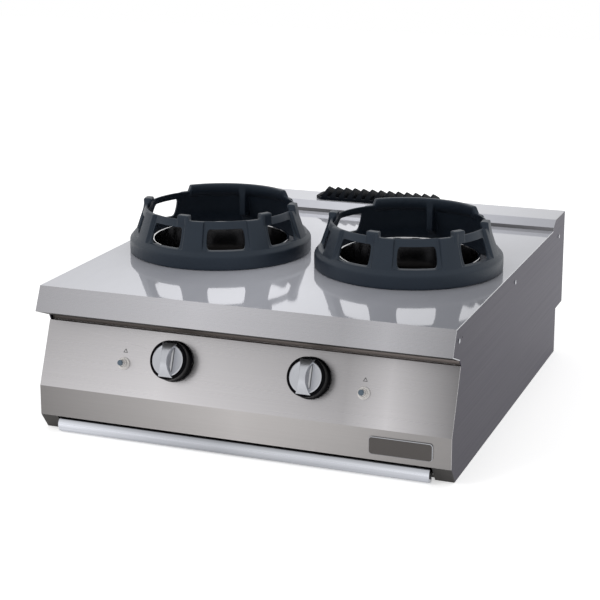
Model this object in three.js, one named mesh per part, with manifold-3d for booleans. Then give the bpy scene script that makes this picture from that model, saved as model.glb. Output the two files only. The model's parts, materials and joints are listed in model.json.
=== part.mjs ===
// A counter-top gas wok range with two burners: a folded steel casing with a raised
// flue at the back, two cast wok rings over raised burner wells, two push-and-turn gas
// knobs, two igniter buttons, and a drip tray that pulls out at the front.
// Millimetres, +Z up, front towards -Y. The origin is at the bottom of the case, at the
// middle of its width and of its depth.

import * as THREE from "three";
import { mergeVertices } from "three/addons/utils/BufferGeometryUtils.js";
import Module from "manifold-3d";

// ---------------------------------------------------------------- driving dimensions

const HALF_WIDTH = 400;
const CASE_BACK = 450;
const PLATE_TOP = 280;
const FLUE_TOP = 300;
const SHEET = 2; // thickness of the casing sheet
const GAP = 0.3; // clearance between pieces that touch

// side profile, each point as [y, z]
const LIP_EDGE = [-429, PLATE_TOP];
const LIP_NOSE = [-450, 235];
const LIP_RETURN = [-403, 216.6];
const PANEL_TOP = [-397, 205];
const PANEL_UPSTAND = 34;
const PANEL_FOLD = [-443, 89];
const FASCIA_BOTTOM = [-443, 32];
const CHAMFER_FOOT = [-419, 0];
const FLUE_FOOT = [335, PLATE_TOP];
const FLUE_STRIP_TOP = [337, 287];
const FLUE_BROW = [358, FLUE_TOP];
const LEDGE_Z = 97;
const REAR_Y = 389;

// burners
const BURNER_X = 198;
const BURNER_Y = -48;
const COLLAR_RADIUS = 139;
const COLLAR_HEIGHT = 25;
const WELL_RADIUS = 136;
const SIDE_PIN_HOLE = [-390, 256];
const WELL_FLOOR = 205;
const BURNER_RADIUS = 48;
const HORN_Z = 188;
const HORN_MOUTH_Y = -300;

// wok rings, heights above the plate
const RING_RADIUS = 183;
const RING_BAND = 27;
const RING_SHOULDER = 34;
const RING_CONE_FOOT = 176;
const RING_CONE_HEAD = 156.5;
const RING_RIM = 90;
const RING_BACK = 104;
const RING_LUG = 100;
const RING_WALL = 10;
const WINDOW_BOTTOM = 37;
const WINDOW_TOP = 76;
const WINDOW_HALF_ANGLE = 13.4;
const RECESS_HALF_ANGLE = 15.6;
const RECESS_DEPTH = 5.5;
const WINDOW_AZIMUTHS = [-112.5, -67.5, -22.5, 22.5, 67.5, 112.5];
const LUG_AZIMUTHS = [-84, -9, 54, 93];
const LUG_WIDTH = 9.5;
const LEFT_RING_TURN = 4.5; // degrees, as the loose ring happens to lie

// controls on the sloped panel, each place as distance up the panel from its fold
const KNOB_X = 133.2;
const KNOB_RISE = 74.2;
const KNOB_RADIUS = 36;
const KNOB_FOOT = 3.6;
const KNOB_HEIGHT = 31;
const GRIP_REACH = 31.5;
const GRIP_HEIGHT = 19;
const BUTTON_X = 233.5;
const BUTTON_RISE = 59.2;

// gas train
const VALVE_DEPTH = -34; // the inlet's distance behind the panel's face
const MANIFOLD_DROP = 36; // from the valve's axis, down the slope
const MANIFOLD_RADIUS = 11;
const MANIFOLD_HALF = 170;
const INLET_X = 360;
const INLET_Z = 62;
const PIPE_RADIUS = 8;

// drip tray
const TRAY_HALF = 358;
const TRAY_FRONT = -430;
const TRAY_BACK = 330;
const TRAY_BOTTOM = 7.8;
const TRAY_TOP = 28;
const HANDLE_HALF = 362;

// ---------------------------------------------------------------- materials

function finish(color, roughness, metalness) {
  return new THREE.MeshStandardMaterial({ color, roughness, metalness });
}

const BRUSHED = finish(0xb4b0ac, 0.35, 1);
const POLISHED = finish(0xd3d5da, 0.15, 1);
const DARK_STEEL = finish(0x4d4a49, 0.5, 0.9);
const CAST_IRON = finish(0x2b3138, 0.6, 0.3);
const BLACK_IRON = finish(0x131416, 0.6, 0.3);
const BLACK_PLASTIC = finish(0x0c0c0d, 0.15, 0);
const SATIN_SILVER = finish(0xc9ccce, 0.3, 1);
const CREAM_PLASTIC = finish(0xc9bfae, 0.4, 0);
const BLUE_PLASTIC = finish(0x8d9cae, 0.35, 0);
const BRASS = finish(0xb08d4a, 0.35, 1);
const ALUMINIUM = finish(0xdadcdf, 0.25, 1);
const CERAMIC = finish(0xe6e2d8, 0.4, 0);

// ---------------------------------------------------------------- solid geometry tools

const library = await Module();
library.setup();

// Turns a closed surface into a solid, facing it outwards.
function solidOf(geometry) {
  const bare = geometry.index ? geometry.toNonIndexed() : geometry.clone();
  bare.deleteAttribute("normal");
  bare.deleteAttribute("uv");
  const merged = mergeVertices(bare, 1e-4);
  const index = merged.index.array;
  const faces = [];
  for (let i = 0; i < index.length; i += 3) {
    const [a, b, c] = [index[i], index[i + 1], index[i + 2]];
    if (a !== b && b !== c && c !== a) faces.push([a, b, c]);
  }
  const make = (list) =>
    new library.Manifold(
      new library.Mesh({
        numProp: 3,
        vertProperties: merged.attributes.position.array,
        triVerts: new Uint32Array(list.flat()),
      }),
    );
  const made = make(faces);
  return made.volume() < 0 ? make(faces.map(([a, b, c]) => [a, c, b])) : made;
}

function geometryOf(solid) {
  const mesh = solid.getMesh();
  const geometry = new THREE.BufferGeometry();
  const places = new THREE.BufferAttribute(new Float32Array(mesh.vertProperties), 3);
  geometry.setAttribute("position", places);
  geometry.setIndex(new THREE.BufferAttribute(new Uint32Array(mesh.triVerts), 1));
  return geometry;
}

function join(...pieces) {
  return geometryOf(pieces.map(solidOf).reduce((sum, next) => sum.add(next)));
}

function cut(body, ...tools) {
  return geometryOf(tools.map(solidOf).reduce((rest, tool) => rest.subtract(tool), solidOf(body)));
}

function common(body, tool) {
  return geometryOf(solidOf(body).intersect(solidOf(tool)));
}

function outline(points) {
  return new THREE.Shape(points.map(([a, b]) => new THREE.Vector2(a, b)));
}

function extruded(shape, depth) {
  return new THREE.ExtrudeGeometry(shape, { depth, bevelEnabled: false, curveSegments: 6 });
}

// A polygon of [y, z] points drawn out from x0 to x1.
function alongX(points, x0, x1) {
  const turn = new THREE.Matrix4().set(0, 0, 1, x0, 1, 0, 0, 0, 0, 1, 0, 0, 0, 0, 0, 1);
  return extruded(outline(points), x1 - x0).applyMatrix4(turn);
}

// A polygon of [x, z] points drawn out from y0 to y1.
function alongY(points, y0, y1) {
  return extruded(outline(points), y1 - y0).rotateX(Math.PI / 2).translate(0, y1, 0);
}

// A polygon of [x, y] points drawn out from z0 to z1.
function alongZ(points, z0, z1) {
  return extruded(outline(points), z1 - z0).translate(0, 0, z0);
}

function box(x0, x1, y0, y1, z0, z1) {
  return new THREE.BoxGeometry(x1 - x0, y1 - y0, z1 - z0).translate(
    (x0 + x1) / 2,
    (y0 + y1) / 2,
    (z0 + z1) / 2,
  );
}

// A closed profile of [radius, height] points turned about the Z axis.
function turned(profile, segments = 32) {
  const points = profile.map(([radius, height]) => new THREE.Vector2(radius, height));
  const touchesAxis = profile[0][0] === 0;
  if (!touchesAxis) points.push(points[0].clone());
  return new THREE.LatheGeometry(points, segments).rotateX(Math.PI / 2);
}

function rod(radius, z0, z1, segments = 20) {
  return turned([[0, z0], [radius, z0], [radius, z1], [0, z1]], segments);
}

// A round pipe that follows straight runs through the given points, with bent corners.
function pipe(radius, places, bend, steps = 30, sides = 12) {
  const points = places.map((place) => new THREE.Vector3(...place));
  const route = new THREE.CurvePath();
  let start = points[0];
  for (let i = 1; i < points.length - 1; i += 1) {
    const before = points[i].clone().lerp(points[i - 1], bend / points[i].distanceTo(points[i - 1]));
    const after = points[i].clone().lerp(points[i + 1], bend / points[i].distanceTo(points[i + 1]));
    route.add(new THREE.LineCurve3(start, before));
    route.add(new THREE.QuadraticBezierCurve3(before, points[i], after));
    start = after;
  }
  route.add(new THREE.LineCurve3(start, points[points.length - 1]));
  const section = new THREE.Shape().absarc(0, 0, radius, 0, Math.PI * 2);
  const round = section.getPoints(sides / 2).slice(0, -1);
  return new THREE.ExtrudeGeometry(new THREE.Shape(round), { steps, extrudePath: route });
}

// The path shifted sideways by a distance, with mitred corners; positive is to its left.
function shifted(path, distance, closed = false) {
  const count = path.length;
  const sides = path.map(([a, b], i) => {
    const [c, d] = path[(i + 1) % count];
    const length = Math.hypot(c - a, d - b);
    return { a, b, u: (c - a) / length, v: (d - b) / length };
  });
  return path.map(([a, b], i) => {
    const isFirst = !closed && i === 0;
    const isLast = !closed && i === count - 1;
    const before = sides[isFirst ? 0 : (i + count - 1) % count];
    const after = sides[isLast ? count - 2 : i];
    const turn = 1 + before.u * after.u + before.v * after.v;
    const across = (-before.v - after.v) / turn;
    const up = (before.u + after.u) / turn;
    return [a + across * distance, b + up * distance];
  });
}

// A folded sheet whose outer face follows the path, its thickness to the path's left.
function folded(path, x0, x1, thickness = SHEET) {
  return alongX([...path, ...shifted(path, thickness).reverse()], x0, x1);
}

// ---------------------------------------------------------------- placing

const range = new THREE.Group();

function place(name, geometry, material, parent = range) {
  const mesh = new THREE.Mesh(geometryOf(solidOf(geometry)), material);
  mesh.name = name;
  parent.add(mesh);
  return mesh;
}

// The sloped panel's own frame: x across, y up the slope, z straight out of it.
const PANEL_SLOPE = Math.atan2(PANEL_TOP[1] - PANEL_FOLD[1], PANEL_TOP[0] - PANEL_FOLD[0]);

function panelPlace(x, rise) {
  const spot = new THREE.Group();
  spot.rotation.x = PANEL_SLOPE;
  spot.position.set(
    x,
    PANEL_FOLD[0] + rise * Math.cos(PANEL_SLOPE),
    PANEL_FOLD[1] + rise * Math.sin(PANEL_SLOPE),
  );
  spot.updateMatrix();
  range.add(spot);
  return spot;
}

function atPanel(geometry, x, rise) {
  return geometry.applyMatrix4(panelPlace(x, rise).matrix);
}

// ---------------------------------------------------------------- casing

const CASE_OUTLINE = [
  CHAMFER_FOOT,
  [REAR_Y, 0],
  [REAR_Y, LEDGE_Z],
  [CASE_BACK, LEDGE_Z],
  [CASE_BACK, FLUE_TOP],
  FLUE_BROW,
  FLUE_STRIP_TOP,
  FLUE_FOOT,
  LIP_EDGE,
  LIP_NOSE,
  LIP_RETURN,
  PANEL_TOP,
  PANEL_FOLD,
  FASCIA_BOTTOM,
];
const SIDE_SCREWS = [[-412, 255], [-5, 255], [393, 256]];
const SCREW_HOLE = 2.4;

function screwHoles(side) {
  return SIDE_SCREWS.map(([y, z]) =>
    rod(SCREW_HOLE, -10, 10, 12).rotateY(Math.PI / 2).translate(side * HALF_WIDTH, y, z),
  );
}

function sidePanel(side) {
  const slope = (CHAMFER_FOOT[0] - FASCIA_BOTTOM[0]) / (FASCIA_BOTTOM[1] - CHAMFER_FOOT[1]);
  const foot = [[CHAMFER_FOOT[0] + slope * SHEET, -SHEET], [REAR_Y, -SHEET]];
  const inner = shifted([...foot, ...CASE_OUTLINE.slice(2)], SHEET + GAP, true);
  const x = side * HALF_WIDTH;
  const blank = alongX(inner, Math.min(x, x - side * SHEET), Math.max(x, x - side * SHEET));
  const [y, z] = SIDE_PIN_HOLE;
  const pinHole = rod(1.6, -10, 10, 10).rotateY(Math.PI / 2).translate(x, y, z);
  return cut(blank, pinHole, ...screwHoles(side));
}

// Trims a folded sheet's flanges where the side panels stand behind its skin.
function clearOfSides(sheet) {
  const inside = shifted(CASE_OUTLINE, SHEET - 0.05, true);
  const reach = HALF_WIDTH - SHEET - GAP;
  return cut(sheet, alongX(inside, reach, HALF_WIDTH + 5), alongX(inside, -HALF_WIDTH - 5, -reach));
}

function sideScrew(side, [y, z]) {
  const head = 4.6;
  const profile = [[0, -9], [2, -9], [2, GAP], [head, GAP], [head, 0.9], [head - 1.4, 1.5], [0, 1.5]];
  return turned(profile, 12)
    .rotateY((side * Math.PI) / 2)
    .translate(side * HALF_WIDTH, y, z);
}

// The worktop: one folded sheet with the front lip, its return, and a hole for each burner.
function topPlate() {
  const path = [[FLUE_FOOT[0] - GAP, PLATE_TOP], LIP_EDGE, LIP_NOSE, LIP_RETURN];
  const holes = [-1, 1].map((side) =>
    rod(WELL_RADIUS + 1, PLATE_TOP - 10, PLATE_TOP + 10, 40).translate(side * BURNER_X, BURNER_Y, 0),
  );
  return cut(clearOfSides(folded(path, -HALF_WIDTH, HALF_WIDTH)), ...holes);
}

// The control panel: top flange, sloped face, upright fascia and bottom return.
function controlPanel() {
  const path = [
    [PANEL_TOP[0] + 8, PANEL_TOP[1] + PANEL_UPSTAND],
    [PANEL_TOP[0] + 8, PANEL_TOP[1]],
    PANEL_TOP,
    PANEL_FOLD,
    FASCIA_BOTTOM,
    [FASCIA_BOTTOM[0] + 14, FASCIA_BOTTOM[1]],
  ];
  const holes = [];
  for (const side of [-1, 1]) {
    holes.push(atPanel(rod(8, -10, 10, 20), side * KNOB_X, KNOB_RISE));
    holes.push(atPanel(rod(9, -10, 10, 20), side * BUTTON_X, BUTTON_RISE));
  }
  return cut(clearOfSides(folded(path, -HALF_WIDTH, HALF_WIDTH)), ...holes);
}

const GRILLE_Y = 406;
const GRILLE_X = -6; // the loose grille lies a little to the left
const FIN_COUNT = 13;
const FIN_PITCH = 20.2;
const FLUE_SLOT = { halfX: 138, halfY: 30 };

// The flue: a raised hood across the back whose slot lets the burnt gas out.
function flueBox() {
  const path = [
    [REAR_Y, LEDGE_Z],
    [CASE_BACK, LEDGE_Z],
    [CASE_BACK, FLUE_TOP],
    FLUE_BROW,
    FLUE_STRIP_TOP,
    FLUE_FOOT,
    [FLUE_FOOT[0], PLATE_TOP - 20],
  ];
  const { halfX, halfY } = FLUE_SLOT;
  const slot = box(-halfX, halfX, GRILLE_Y - halfY, GRILLE_Y + halfY, FLUE_TOP - 10, FLUE_TOP + 10);
  return cut(clearOfSides(folded(path, -HALF_WIDTH, HALF_WIDTH)), slot);
}

function rearPanel() {
  const inside = HALF_WIDTH - SHEET - GAP;
  const sheet = box(-inside, inside, REAR_Y - SHEET, REAR_Y, 7, LEDGE_Z - GAP);
  const hole = rod(PIPE_RADIUS + 2, -10, 10).rotateX(Math.PI / 2).translate(INLET_X, REAR_Y, INLET_Z);
  return cut(sheet, hole);
}

const RAIL_INNER = 374;
const RAIL_OUTER = 397;

// The base: two side rails joined by flat cross rails that the case rests on.
function baseFrame() {
  const crossings = [[-408, -368], [-20, 20], [345, 385]];
  return join(
    ...[-1, 1].map((side) =>
      box(
        Math.min(side * RAIL_INNER, side * RAIL_OUTER),
        Math.max(side * RAIL_INNER, side * RAIL_OUTER),
        -408,
        385,
        0,
        30,
      ),
    ),
    ...crossings.map(([y0, y1]) => box(-RAIL_OUTER, RAIL_OUTER, y0, y1, 0, 5)),
  );
}

function cornerBracket(side) {
  const skin = folded([FASCIA_BOTTOM, CHAMFER_FOOT], 365, HALF_WIDTH);
  const block = alongX([[-439.5, 29], [-421.5, 5], [-408.3, 5], [-408.3, 29]], 366, RAIL_OUTER);
  const below = box(360, 405, -450, -400, -9, GAP);
  const above = box(360, 405, -450, -400, FASCIA_BOTTOM[1] - GAP, 60);
  const bracket = join(cut(skin, below, above), block);
  return side > 0 ? bracket : bracket.applyMatrix4(new THREE.Matrix4().makeScale(-1, 1, 1));
}

function trayRunner(side) {
  const edge = RAIL_INNER - GAP;
  const angle = [
    [edge, 5.5],
    [edge, 22],
    [edge - 2, 22],
    [edge - 2, 7.5],
    [edge - 26, 7.5],
    [edge - 26, 5.5],
  ];
  return alongY(angle.map(([x, z]) => [side * x, z]), -408, 380);
}

function dripTray() {
  const wall = 1.5;
  const shell = box(-TRAY_HALF, TRAY_HALF, TRAY_FRONT, TRAY_BACK, TRAY_BOTTOM, TRAY_TOP);
  const inside = box(
    -TRAY_HALF + wall,
    TRAY_HALF - wall,
    TRAY_FRONT + wall,
    TRAY_BACK - wall,
    TRAY_BOTTOM + wall,
    TRAY_TOP + 5,
  );
  return cut(shell, inside);
}

// The tray's full-width handle, an extruded bar with a round nose.
function trayHandle() {
  const back = TRAY_FRONT - GAP;
  const [depth, halfHeight, middle] = [11.5, 13.9, 15.1];
  const nose = [];
  for (let i = 0; i <= 10; i += 1) {
    const angle = (Math.PI * i) / 10;
    nose.push([-436.5 - depth * Math.sin(angle), middle + halfHeight * Math.cos(angle)]);
  }
  const ends = [middle + halfHeight, middle - halfHeight].map((height) => [back, height]);
  return alongX([ends[0], ...nose, ends[1]], -HANDLE_HALF, HANDLE_HALF);
}

function namePlate() {
  const [halfX, halfZ, radius, thickness] = [57, 15.2, 5, 2];
  const shape = new THREE.Shape();
  shape.moveTo(-halfX + radius, -halfZ);
  shape.absarc(halfX - radius, -halfZ + radius, radius, -Math.PI / 2, 0);
  shape.absarc(halfX - radius, halfZ - radius, radius, 0, Math.PI / 2);
  shape.absarc(-halfX + radius, halfZ - radius, radius, Math.PI / 2, Math.PI);
  shape.absarc(-halfX + radius, -halfZ + radius, radius, Math.PI, Math.PI * 1.5);
  const bevel = { bevelSize: 1, bevelThickness: 1, bevelSegments: 1 };
  return new THREE.ExtrudeGeometry(shape, { depth: thickness - 1, curveSegments: 4, ...bevel })
    .rotateX(Math.PI / 2)
    .translate(309, FASCIA_BOTTOM[0] - GAP - 1, 59.3);
}

place("left_side_panel", sidePanel(-1), BRUSHED);
place("right_side_panel", sidePanel(1), BRUSHED);
place("top_plate", topPlate(), POLISHED);
place("control_panel", controlPanel(), BRUSHED);
place("flue_box", flueBox(), BRUSHED);
place("rear_panel", rearPanel(), BRUSHED);
place("base_frame", baseFrame(), DARK_STEEL);
place("drip_tray", dripTray(), BRUSHED);
place("tray_handle", trayHandle(), ALUMINIUM);
place("name_plate", namePlate(), DARK_STEEL);

// ---------------------------------------------------------------- flue grille

// Pointed fins set side by side across a frame with round ends.
function flueGrille() {
  const [halfX, halfY, rail] = [144, 37, 9];
  const corner = 16;
  const shape = new THREE.Shape();
  shape.moveTo(-halfX + corner, -halfY);
  shape.lineTo(halfX - corner, -halfY);
  shape.lineTo(halfX, -halfY + corner);
  shape.lineTo(halfX, halfY - corner);
  shape.lineTo(halfX - corner, halfY);
  shape.lineTo(-halfX + corner, halfY);
  shape.lineTo(-halfX, halfY - corner);
  shape.lineTo(-halfX, -halfY + corner);
  const foot = FLUE_TOP + GAP;
  const frame = cut(
    extruded(shape, 6).translate(0, GRILLE_Y, foot),
    box(-halfX + rail, halfX - rail, GRILLE_Y - halfY + rail, GRILLE_Y + halfY - rail, 290, 320),
  );
  const section = [[-7.5, 1], [-6, 9], [-3, 19], [-1, 23], [1, 23], [3, 19], [6, 9], [7.5, 1]];
  const tent = [[-35.5, 1], [-35.5, 7], [-31, 11], [-2, 23.4], [2, 23.4], [31, 11], [35.5, 7], [35.5, 1]];
  const hump = alongX(tent.map(([y, z]) => [GRILLE_Y + y, foot + z]), -halfX, halfX);
  const fins = [];
  for (let i = 0; i < FIN_COUNT; i += 1) {
    const x = (i - (FIN_COUNT - 1) / 2) * FIN_PITCH;
    const blade = alongY(section.map(([a, b]) => [x + a, foot + b]), GRILLE_Y - halfY, GRILLE_Y + halfY);
    fins.push(common(blade, hump));
  }
  return join(frame, ...fins).translate(GRILLE_X, 0, 0);
}

place("flue_grille", flueGrille(), BLACK_IRON);

// ---------------------------------------------------------------- wok rings

// A sector of an annulus; azimuth 0 faces the front and grows towards the right side.
function sector(from, to, inner, outer, z0, z1) {
  const count = Math.max(1, Math.round((to - from) / 8));
  const at = (radius, i) => {
    const angle = THREE.MathUtils.degToRad(from + ((to - from) * i) / count);
    return [radius * Math.sin(angle), -radius * Math.cos(angle)];
  };
  const points = [];
  for (let i = 0; i <= count; i += 1) points.push(at(outer, i));
  for (let i = count; i >= 0; i -= 1) points.push(at(inner, i));
  return alongZ(points, z0, z1);
}

function wokRing() {
  const body = turned(
    [
      [RING_RADIUS - RING_WALL, GAP],
      [RING_RADIUS, GAP],
      [RING_RADIUS, RING_BAND],
      [RING_CONE_FOOT, RING_SHOULDER],
      [RING_CONE_HEAD, RING_RIM],
      [RING_CONE_HEAD - RING_WALL, RING_RIM],
      [RING_CONE_FOOT - RING_WALL, RING_SHOULDER],
    ],
    48,
  );
  const recessRing = turned(
    [
      [RING_CONE_FOOT - RECESS_DEPTH, WINDOW_BOTTOM],
      [RING_RADIUS + 9, WINDOW_BOTTOM],
      [RING_RADIUS + 9, RING_RIM + 5],
      [RING_CONE_HEAD - RECESS_DEPTH, RING_RIM + 5],
    ],
    48,
  );
  const openings = WINDOW_AZIMUTHS.map((azimuth) =>
    sector(
      azimuth - WINDOW_HALF_ANGLE,
      azimuth + WINDOW_HALF_ANGLE,
      RING_CONE_HEAD - 30,
      RING_RADIUS + 15,
      WINDOW_BOTTOM,
      WINDOW_TOP,
    ),
  );
  const recesses = WINDOW_AZIMUTHS.map((azimuth) =>
    common(
      recessRing,
      sector(
        azimuth - RECESS_HALF_ANGLE,
        azimuth + RECESS_HALF_ANGLE,
        RING_CONE_HEAD - 40,
        RING_RADIUS + 20,
        WINDOW_BOTTOM - 1,
        RING_RIM + 9,
      ),
    ),
  );
  const backBand = common(
    turned(
      [
        [RING_CONE_HEAD - 15.5, RING_RIM - 6],
        [RING_CONE_HEAD + 1.5, RING_RIM - 6],
        [RING_CONE_HEAD - 3.5, RING_BACK],
        [RING_CONE_HEAD - 15.5, RING_BACK],
      ],
      48,
    ),
    sector(136, 224.5, 100, 200, RING_RIM - 20, RING_BACK + 5),
  );
  const lugs = LUG_AZIMUTHS.map((azimuth) =>
    sector(
      azimuth - LUG_WIDTH / 2,
      azimuth + LUG_WIDTH / 2,
      RING_CONE_HEAD - 15.5,
      RING_CONE_HEAD + 1.5,
      RING_RIM - 8,
      RING_LUG,
    ),
  );
  const innerRib = sector(177, 183, RING_CONE_HEAD - 16.5, RING_CONE_HEAD, 30, RING_RIM - 4);
  return join(cut(body, ...recesses, ...openings), backBand, ...lugs, innerRib);
}

// ---------------------------------------------------------------- burners

// The polished bowl that hangs in the plate, with a raised collar round its mouth.
function burnerWell() {
  const foot = PLATE_TOP + GAP;
  const rim = PLATE_TOP + COLLAR_HEIGHT;
  const bowl = turned(
    [
      [BURNER_RADIUS + 4, WELL_FLOOR],
      [WELL_RADIUS - 6, WELL_FLOOR],
      [WELL_RADIUS, WELL_FLOOR + 8],
      [WELL_RADIUS, foot],
      [COLLAR_RADIUS + 9, foot],
      [COLLAR_RADIUS + 7, foot + 1.5],
      [COLLAR_RADIUS + 2, foot + 3.5],
      [COLLAR_RADIUS, foot + 8],
      [COLLAR_RADIUS, rim - 2],
      [COLLAR_RADIUS - 1.5, rim],
      [WELL_RADIUS - 1.5, rim],
      [WELL_RADIUS - 3, rim - 2],
      [WELL_RADIUS - 3, WELL_FLOOR + 9],
      [WELL_RADIUS - 8, WELL_FLOOR + 3],
      [BURNER_RADIUS + 4, WELL_FLOOR + 3],
    ],
    40,
  );
  const holes = IGNITION_PLACES.map(([x, y]) => rod(6, WELL_FLOOR - 5, WELL_FLOOR + 6, 8).translate(x, y, 0));
  return cut(bowl, ...holes);
}

const IGNITION_PLACES = [[-45, -50], [-57, -35], [-30, -60]];
const CASTING_BOTTOM = 170;
const CASTING_TOP = 234;
const PORT_COUNT = 12;

// The burner casting: an open round chamber with a mixing horn towards the front.
function burnerBody() {
  const hornY = HORN_MOUTH_Y - BURNER_Y;
  const shell = turned(
    [
      [0, CASTING_BOTTOM],
      [44, CASTING_BOTTOM],
      [44, 198],
      [BURNER_RADIUS, 204],
      [BURNER_RADIUS, CASTING_TOP],
      [0, CASTING_TOP],
    ],
    24,
  );
  const horn = turned([[0, 30], [17, 30], [17, 205], [24, 232], [24, -hornY], [0, -hornY]], 16);
  const hornBore = turned([[0, 20], [12, 20], [12, 205], [20, 236], [20, 300], [0, 300]], 16);
  const chamber = rod(BURNER_RADIUS - 8, CASTING_BOTTOM + 8, CASTING_TOP + 5, 24);
  const aim = (geometry) => geometry.rotateX(Math.PI / 2).translate(0, 0, HORN_Z);
  return cut(join(shell, aim(horn)), aim(hornBore), chamber);
}

// The loose cap, with a skirt cut by flame ports and a centre opening.
function burnerCap() {
  const foot = CASTING_TOP + GAP;
  const disc = turned(
    [
      [14, foot + 3],
      [34, foot + 3],
      [34, foot - 8],
      [38.5, foot - 8],
      [38.5, foot],
      [BURNER_RADIUS + 1, foot],
      [BURNER_RADIUS + 1, foot + 7],
      [BURNER_RADIUS - 6, foot + 14],
      [20, foot + 16],
      [14, foot + 12],
    ],
    24,
  );
  const ports = [];
  for (let i = 0; i < PORT_COUNT; i += 1) {
    const port = box(-2, 2, BURNER_RADIUS - 7, BURNER_RADIUS + 5, foot + 2, foot + 5);
    ports.push(port.rotateZ((Math.PI * 2 * (i + 0.5)) / PORT_COUNT));
  }
  return cut(disc, ...ports);
}

// Each ignition piece stands in a hole of the well's floor, on a small flange.
const FLANGE_FOOT = WELL_FLOOR + 3 + GAP;

function pilotBurner() {
  const tube = rod(3, 178, 226, 12);
  const hood = turned([[0, 222], [5.5, 222], [5.5, 234], [3, 240], [0, 240]], 12);
  return join(tube, hood, rod(8, FLANGE_FOOT, FLANGE_FOOT + 2, 12));
}

function thermocouple() {
  return join(rod(2, 178, 244, 8), rod(4, 186, 214, 10), rod(8, FLANGE_FOOT, FLANGE_FOOT + 2, 12));
}

function sparkElectrode() {
  return join(rod(1.2, 178, 244, 8), rod(3.6, 182, 230, 10), rod(8, FLANGE_FOOT, FLANGE_FOOT + 2, 12));
}

// ---------------------------------------------------------------- controls

const VALVE_FACE = -8;
const OUTLET_RISE = 27;
const VALVE_BACK = -46;

function knobBody() {
  const skirt = [
    [0, KNOB_HEIGHT],
    [KNOB_RADIUS - 3, KNOB_HEIGHT],
    [KNOB_RADIUS - 0.6, KNOB_HEIGHT - 1],
    [KNOB_RADIUS, KNOB_HEIGHT - 3.5],
    [KNOB_RADIUS, KNOB_FOOT],
    [KNOB_RADIUS - 4, KNOB_FOOT],
    [KNOB_RADIUS - 4, 8],
    [0, 8],
  ];
  return cut(turned(skirt, 36), rod(4.4, 0, 21, 12));
}

// The silver face: a disc with a waisted grip that arches across it.
function knobFace() {
  const foot = KNOB_HEIGHT + GAP;
  const disc = turned([[0, foot], [30, foot], [30, foot + 0.7], [28.6, foot + 1.5], [0, foot + 1.5]], 32);
  const arch = [[-GRIP_REACH, foot]];
  for (let i = 0; i <= 12; i += 1) {
    const along = (2 * i) / 12 - 1;
    arch.push([GRIP_REACH * along, foot + 1 + (GRIP_HEIGHT - 1) * (1 - along * along)]);
  }
  arch.push([GRIP_REACH, foot]);
  const plan = new THREE.Shape();
  plan.moveTo(-14, -GRIP_REACH);
  plan.quadraticCurveTo(1.8, 0, -14, GRIP_REACH);
  plan.lineTo(14, GRIP_REACH);
  plan.quadraticCurveTo(-1.8, 0, 14, -GRIP_REACH);
  const waisted = extruded(plan, 60).translate(0, 0, foot - 10);
  return join(disc, common(alongX(arch, -20, 20), waisted));
}

function valveSpindle() {
  const shaft = rod(4, -31, 20.5, 16);
  return cut(shaft, box(1.8, 6, -6, 6, 8, 25));
}

function valvePlunger() {
  return turned([[4.4, -14], [8, -14], [8, -11], [4.4, -11]], 20);
}

function gasValve() {
  const block = box(-17, 17, -19, 19, VALVE_BACK, -12);
  const nose = rod(14, -16, VALVE_FACE, 20);
  const inletEnd = MANIFOLD_DROP - MANIFOLD_RADIUS - GAP;
  const inlet = rod(7, 10, inletEnd).rotateX(Math.PI / 2).translate(0, 0, VALVE_DEPTH);
  const outlet = rod(6.5, 10, OUTLET_RISE).rotateX(-Math.PI / 2).translate(0, 0, VALVE_DEPTH);
  const body = join(block, nose, inlet, outlet);
  return cut(body, rod(8.6, -19, 0), rod(4.6, -37, 0, 16));
}

function igniterBezel() {
  return turned(
    [
      [6.4, -5],
      [8.4, -5],
      [8.4, GAP],
      [11.7, GAP],
      [11.7, 2.2],
      [10.6, 3.4],
      [8.6, 3.6],
      [8.2, 10],
      [6.4, 10],
    ],
    20,
  );
}

function igniterButton() {
  return turned([[0, -6], [6, -6], [6, 17], [4.8, 19], [0, 19.4]], 20);
}

function igniterPack() {
  const body = join(rod(13, -52, -10, 20), box(-16, 16, -8, 8, -50, -26));
  return cut(body, rod(6.6, -15, 0, 20));
}

// The injector stands in front of the horn, its feed pipe comes up from the valve.
const INJECTOR_Y = HORN_MOUTH_Y - 8;

function injector() {
  const hex = rod(10, 0, 12, 6);
  const tip = turned([[0, 8], [6, 8], [6, 20], [3, 26], [0, 26]], 16);
  return join(hex, tip).rotateX(-Math.PI / 2).translate(0, INJECTOR_Y - 12, HORN_Z);
}

function feedPipe(side) {
  const valve = panelPlace(side * KNOB_X, KNOB_RISE).matrix;
  const start = new THREE.Vector3(0, OUTLET_RISE + GAP, VALVE_DEPTH).applyMatrix4(valve);
  const lift = new THREE.Vector3(0, OUTLET_RISE + 19, VALVE_DEPTH).applyMatrix4(valve);
  const end = INJECTOR_Y - 12 - GAP;
  const route = [
    start.toArray(),
    lift.toArray(),
    [side * BURNER_X, end - 30, HORN_Z],
    [side * BURNER_X, end, HORN_Z],
  ];
  return pipe(5, route, 8, 18, 8);
}

// ---------------------------------------------------------------- gas supply and rails

const MANIFOLD = new THREE.Vector3(0, -MANIFOLD_DROP, VALVE_DEPTH);
MANIFOLD.applyMatrix4(panelPlace(0, KNOB_RISE).matrix);

function gasManifold() {
  return rod(MANIFOLD_RADIUS, -MANIFOLD_HALF, MANIFOLD_HALF, 20)
    .rotateY(Math.PI / 2)
    .translate(0, MANIFOLD.y, MANIFOLD.z);
}

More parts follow.
